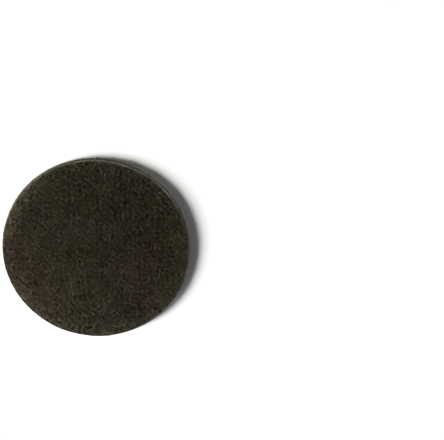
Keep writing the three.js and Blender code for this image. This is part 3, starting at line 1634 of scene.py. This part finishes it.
@dataclass(frozen=True)
class YarnSet:
    """One of the two sets of yarns in the plain weave."""

    sizes: DiscSizes
    yarns: Yarns
    pitch: float = 1.27 * MM
    half_width: float = 0.54 * MM
    flatness: float = 0.24
    swing: float = 0.125 * MM
    level: float = 0.262 * MM
    uneven_pitch: float = 0.05 * MM
    trimmed: Span = (0.0, 0.12 * MM)
    drift: float = 0.06 * MM
    drift_length: float = 9 * MM
    drift_step: float = 1.7
    widths: Span = (0.88, 1.0)
    pinch: float = 0.1
    frayed: float = 0.45 * MM
    tint: Span = (0.12, 0.36)
    tint_spread: float = 0.2
    bright_share: float = 0.84
    bright_extra: float = 0.55
    depth: float = 0.28

    def surface(self) -> Surface:
        """Makes the yarns.

        Yarn j lies at j times the pitch across. Its height is the weave level plus the swing times
        the cosine of pi times its place over the pitch, and neighbours swing the other way. Samples
        past the cut edge are pulled back onto it, and the empty stretches between them are dropped.
        A few samples are bright, where a filament catches the light.

        Returns:
            Closed flat tubes with the values tint, depth and cut.
        """
        _, seed, axis, phase = self.yarns.value
        rng = np.random.default_rng(seed)
        half = int(self.sizes.radius / self.pitch)
        lines = np.arange(-half, half + 1)[:, None]
        count = len(lines)
        stations = np.arange(-2 * half - 2, 2 * half + 3)[None, :] * self.pitch / 2
        across = lines * self.pitch + 0 * stations
        across = across + self.uneven_pitch * rng.normal(0.0, 1.0, (count, 1))
        reach = self.sizes.radius - draw(rng, self.trimmed, count)
        chord = np.sqrt(np.maximum(reach**2 - across**2, 0.0))
        run = np.clip(stations + 0 * across, -chord, chord)
        wave = np.cos(math.pi * run / self.pitch + math.pi * lines + phase)
        across = across + self.drift * np.sin(run / self.drift_length + lines * self.drift_step)
        plan = (run, across) if axis == 0 else (across, run)
        paths = np.stack((*plan, self.level + self.swing * wave), axis=-1)
        width = self.half_width * draw(rng, self.widths, count) * (1 - self.pinch * np.abs(wave))
        tint = draw(rng, self.tint, count) + self.tint_spread * rng.normal(0.0, 1.0, run.shape)
        bright = rng.uniform(0.0, 1.0, run.shape) > self.bright_share
        # Painted shade: a yarn is darker where it passes under the crossing yarn.
        values = {
            "tint": np.clip(tint + self.bright_extra * bright, 0.0, 1.0),
            "depth": np.clip(self.depth + self.depth * wave, 0.0, 1.0),
            "cut": np.clip(1 - (chord - np.abs(run)) / self.frayed, 0.0, 1.0),
        }
        return self.cut_tubes(self.sections(paths, width, axis), run, values)

    def sections(self, paths: np.ndarray, width: np.ndarray, axis: int) -> np.ndarray:
        """Sets a flat four-sided section upright at each step of each path.

        Args:
            paths: Centre lines, (count, steps, 3).
            width: Half widths, (count, steps).
            axis: The axis that the yarns run along.

        Returns:
            Points as (count, steps, 4, 3).
        """
        ways = np.eye(3)
        turn = FULL_TURN * np.arange(4) / 4
        ring = np.cross(ways[axis], ways[2]) * np.cos(turn)[:, None]
        points = paths[:, :, None, :] + width[:, :, None, None] * ring
        return points + self.half_width * self.flatness * ways[2] * np.sin(turn)[:, None]

    def cut_tubes(
        self, points: np.ndarray, run: np.ndarray, values: dict[str, np.ndarray]
    ) -> Surface:
        """Makes closed tubes of the stretches that have a length.

        Args:
            points: Points as (count, steps, sides, 3).
            run: Place of each step along its yarn, equal where a stretch is empty.
            values: Numbers at the steps of each yarn, (count, steps).

        Returns:
            The surface with its map, and with no point that nothing uses.
        """
        count, steps, sides = points.shape[:3]
        there = np.abs(np.diff(run, axis=1)) > 1e-6
        quads = tube_faces(count, steps, sides)[0][there]
        places = strip_places(count, steps, sides, 1)[0][there].reshape(-1, 2)
        numbers = np.arange(count * steps * sides).reshape(count, steps, sides)
        rows = np.arange(count)
        first = np.argmax(there, axis=1)
        last = steps - 1 - np.argmax(there[:, ::-1], axis=1)
        caps = np.concatenate((numbers[rows, first][:, ::-1], numbers[rows, last]))
        cap_place = [[0.001, 0.0], [0.002, 0.0], [0.002, 0.001], [0.001, 0.001]]
        places = np.vstack((places, np.tile(cap_place, (2 * count, 1))))
        corners = np.concatenate((quads.ravel(), caps.ravel()))
        used, corners = np.unique(corners, return_inverse=True)
        spread = {key: np.repeat(item.ravel(), sides)[used] for key, item in values.items()}
        counts = np.full(len(corners) // sides, sides)
        return Surface(points.reshape(-1, 3)[used], corners, counts, spread, places)


@dataclass(frozen=True)
class NeedledTufts:
    """The web fibres that the needles left on the cloth's back."""

    sizes: DiscSizes
    seed: int = 600
    count: int = 900
    steps: int = 6
    map_columns: int = 12
    margin: float = 1.5 * MM
    length: Span = (0.8 * MM, 2.6 * MM)
    curl: float = 2.2
    level: float = 0.06 * MM
    rise: float = 0.22 * MM
    radius: Span = (0.03 * MM, 0.05 * MM)
    tint: Span = (0.0, 0.5)
    # Painted shade of the tufts.
    depth: float = 0.4

    def surface(self) -> Surface:
        """Makes the tufts.

        A tuft is a short curl in plan, with a heading that turns steadily. It lies just inside the
        cloth's outer face, and its ends rise with the third power of the distance from its middle.

        Returns:
            Closed three-sided tubes with the values tint, depth and cut.
        """
        rng = np.random.default_rng(self.seed)
        count = self.count
        share = np.linspace(0.0, 1.0, self.steps)[None, :]
        x, y = scatter(rng, self.sizes.radius - self.margin, count)
        length = draw(rng, self.length, count)
        start = draw(rng, ANY_ANGLE, count)
        x, y = walk(x, y, start + rng.normal(0.0, self.curl, (count, 1)) * share, length)
        z = self.level + self.rise * np.abs(2 * share - 1) ** 3 + 0 * x
        radii = draw(rng, self.radius, count) + 0 * share
        points = tubes(np.stack((x, y, z), axis=-1), radii, sides=3)
        tint = draw(rng, self.tint, count) + 0 * share
        values = {"tint": tint, "depth": self.depth + 0 * tint, "cut": 0 * tint}
        return tube_surface(points, self.map_columns, values)


@dataclass(frozen=True)
class ScrimBacking:
    """The woven backing cloth: a resin body, warp and weft yarns, and needled tufts on its back."""

    sizes: DiscSizes
    filled_tone: Rgb = (0.115, 0.107, 0.096)
    yarn_tone: Rgb = (0.27, 0.253, 0.229)
    tuft_tone: Rgb = (0.07, 0.064, 0.055)
    resin_tone: Rgb = (0.034, 0.031, 0.026)
    cut_tone: Rgb = (0.235, 0.222, 0.198)
    bump: float = 0.5
    tuft_bump: float = 0.2

    def build(self, effects: Effects) -> list[bpy.types.Object]:
        """Builds and dresses the backing cloth.

        Args:
            effects: The shared node groups.

        Returns:
            The cloth's pieces, the one that replaces the CAD solid first.
        """
        sizes = self.sizes
        stains = (self.resin_tone, self.cut_tone)
        woven = ClothFinish("scrim_yarn", self.yarn_tone, *stains, self.bump).build(effects)
        filled = ClothFinish("scrim_resin", self.filled_tone, *stains, self.bump).build(effects)
        pieces = [ScrimBody(sizes).surface().build("scrim_body", filled)]
        for yarns in Yarns:
            pieces.append(YarnSet(sizes, yarns).surface().build(yarns.value[0], woven))
        tuft = ClothFinish("scrim_tuft", self.tuft_tone, *stains, self.tuft_bump).build(effects)
        pieces.append(NeedledTufts(sizes).surface().build("scrim_tufts", tuft))
        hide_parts("scrim_backing")
        return pieces


# The studio


@dataclass(frozen=True)
class Sun:
    """A distant light: strength, apparent width, tone, and where it stands as the image shows it.

    Angles are in degrees: the direction anticlockwise from the image's right, and the elevation
    above the floor.
    """

    name: str
    energy: float
    width: float
    tone: Rgb
    direction: float
    elevation: float


@dataclass(frozen=True)
class Strip:
    """A small rectangular light: strength, sides, tone, distance and where it stands."""

    name: str
    energy: float
    sides: tuple[float, float]
    tone: Rgb
    distance: float
    direction: float
    elevation: float


@dataclass(frozen=True)
class Studio:
    """The floor, the lights and the camera.

    The camera stands where it sees the face at the photograph's angle, and it is turned about its
    own line of sight, so that the near wall shows at the upper right.
    """

    sizes: DiscSizes
    image_size: tuple[float, float] = (444.0, 440.0)
    disc_pixel: tuple[float, float] = (95.6, 249.4)
    face_radius_pixels: float = 93.8
    face_elevation: float = math.radians(69.2)
    near_side_direction: float = math.radians(78.0)
    lens: float = 227.0
    sensor: float = 36.0
    floor_start: float = 0.5
    floor_reach: float = 60.0
    floor_rings: int = 8
    floor_sides: int = 96
    key: Sun = Sun("key_light", 7.15, 30.0, (1.0, 0.99, 0.97), 192.0, 27.0)
    fill: Sun = Sun("fill_light", 1.5, 24.0, (1.0, 1.0, 1.0), 62.0, 4.5)
    strip: Strip = Strip("strip_light", 0.15, (0.16, 0.04), (0.97, 0.99, 1.08), 0.115, 226.0, 24.0)
    world_light: float = 0.06
    world_seen: float = 1.1

    def floor(self) -> bpy.types.Object:
        """Makes the flat floor as rings of growing radius around the disc.

        Returns:
            The floor object.
        """
        rings = np.geomspace(self.floor_start, self.floor_reach, self.floor_rings)
        angle = FULL_TURN * np.arange(self.floor_sides) / self.floor_sides
        reach, turn = np.meshgrid(rings, angle, indexing="ij")
        rows = np.stack((reach * np.cos(turn), reach * np.sin(turn), 0 * reach), axis=-1)
        numbers = 1 + np.arange(rows.shape[0] * rows.shape[1]).reshape(rows.shape[:2])
        following = np.roll(numbers, -1, axis=1)
        quads = np.stack((numbers[:-1], numbers[1:], following[1:], following[:-1]), axis=-1)
        fan = np.stack((np.zeros(len(angle), dtype=int), numbers[0], following[0]), axis=-1)
        corners = np.concatenate((quads.ravel(), fan.ravel()))
        sizes = np.concatenate((np.full(quads.size // 4, 4), np.full(len(fan), 3)))
        points = np.vstack((np.zeros((1, 3)), rows.reshape(-1, 3)))
        floor = Surface(points, corners, sizes).build("floor", FloorFinish().build())
        return floor

    def heading(self, image_direction: float, elevation: float) -> Vector:
        """Turns a direction in the image and a height above the floor into a direction in space.

        The way to the near side, -Y, shows along the near side's direction in the image, and +X
        shows a quarter turn further round.

        Args:
            image_direction: Direction in the image, in degrees anticlockwise from its right.
            elevation: Height above the floor in degrees.

        Returns:
            The direction from the disc, of length one.
        """
        turn = math.radians(image_direction) - self.near_side_direction
        rise = math.radians(elevation)
        flat = Vector((math.sin(turn), -math.cos(turn), 0.0)) * math.cos(rise)
        return flat + Vector((0.0, 0.0, math.sin(rise)))

    def add_light(self, light: bpy.types.Light, tone: Rgb, place: Vector) -> None:
        """Puts a light at a place, pointing at the disc.

        Args:
            light: The light's data.
            tone: Its colour.
            place: Where it stands, in metres.
        """
        light.color = tone
        holder = bpy.data.objects.new(light.name, light)
        holder.location = place
        holder.visible_camera = False
        holder.rotation_euler = place.to_track_quat("Z", "Y").to_euler()
        bpy.context.scene.collection.objects.link(holder)

    def lights(self) -> None:
        """Adds a low soft key light from the image's left, two fills and a white world."""
        for sun in (self.key, self.fill):
            light = bpy.data.lights.new(sun.name, "SUN")
            light.energy = sun.energy
            light.angle = math.radians(sun.width)
            self.add_light(light, sun.tone, self.heading(sun.direction, sun.elevation))
        strip = self.strip
        light = bpy.data.lights.new(strip.name, "AREA")
        light.shape = "RECTANGLE"
        light.size, light.size_y = strip.sides
        light.energy = strip.energy
        place = strip.distance * self.heading(strip.direction, strip.elevation)
        self.add_light(light, strip.tone, place)
        self.world()

    def world(self) -> None:
        """Makes white surroundings, which look bright but add little light."""
        world = bpy.data.worlds.new("white_surroundings")
        world.use_nodes = True
        nodes = Nodes(world.node_tree)
        background = world.node_tree.nodes["Background"]
        seen = nodes.add("ShaderNodeLightPath").outputs["Is Camera Ray"]
        strength = nodes.ramp(seen, 0.0, 1.0, self.world_light, self.world_seen)
        world.node_tree.links.new(strength, background.inputs["Strength"])
        background.inputs["Color"].default_value = WHITE
        bpy.context.scene.world = world

    def camera(self) -> bpy.types.Object:
        """Places the camera at the photograph's angle, distance and framing.

        The line of sight from the face's centre rises at the face elevation on the -Y side. The
        camera's x and y axes are set so that the way to the near side points along the given
        direction in the image, and then the camera turns until the centre falls on its pixel.

        Returns:
            The camera object.
        """
        target = Vector((0.0, 0.0, self.sizes.face_height))
        back = Vector((0.0, -math.cos(self.face_elevation), math.sin(self.face_elevation)))
        near = Vector((0.0, -1.0, 0.0))
        first = (near - back * near.dot(back)).normalized()
        second = back.cross(first)
        cos, sin = math.cos(self.near_side_direction), math.sin(self.near_side_direction)
        right = first * cos - second * sin
        above = first * sin + second * cos
        facing = Matrix((right, above, back)).transposed()
        focal = self.lens / self.sensor * self.image_size[0]
        ray = Vector(
            (
                self.disc_pixel[0] - self.image_size[0] / 2,
                self.image_size[1] / 2 - self.disc_pixel[1],
                -focal,
            )
        ).normalized()
        swing = ray.rotation_difference(Vector((0.0, 0.0, -1.0))).to_matrix()
        distance = focal * self.sizes.radius / self.face_radius_pixels
        data = bpy.data.cameras.new("camera")
        data.lens = self.lens
        data.sensor_width = self.sensor
        data.clip_start = 0.05
        data.clip_end = 50.0
        camera = bpy.data.objects.new("camera", data)
        pose = (facing @ swing).to_4x4()
        pose.translation = target + back * distance
        camera.matrix_world = pose
        bpy.context.scene.collection.objects.link(camera)
        bpy.context.scene.camera = camera
        return camera

    def build(self) -> None:
        """Builds the camera, the floor and the lights, with plain colour handling."""
        self.camera()
        self.floor()
        self.lights()
        bpy.context.scene.view_settings.view_transform = "Standard"
        bpy.context.scene.view_settings.look = "None"


def report(pieces: list[bpy.types.Object]) -> None:
    """Logs each piece's triangles, and those of all pieces together.

    Args:
        pieces: The pieces of the disc.
    """
    total = 0
    for piece in pieces:
        triangles = len(piece.data.loops) - 2 * len(piece.data.polygons)
        total += triangles
        log.info("%s: %d triangles", piece.name, triangles)
    log.info("all pieces: %d triangles", total)


def main() -> None:
    """Builds the disc around the frame, then the studio."""
    logging.basicConfig(level=logging.INFO, format="%(name)s: %(message)s")
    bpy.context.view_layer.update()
    sizes = DiscSizes.from_frame()
    effects = Effects()
    pieces = ScrimBacking(sizes).build(effects) + AbrasiveWeb(sizes).build(effects)
    for piece in pieces:
        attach(piece, "root")
    report(pieces)
    Studio(sizes).build()


if __name__ == "__main__":
    main()
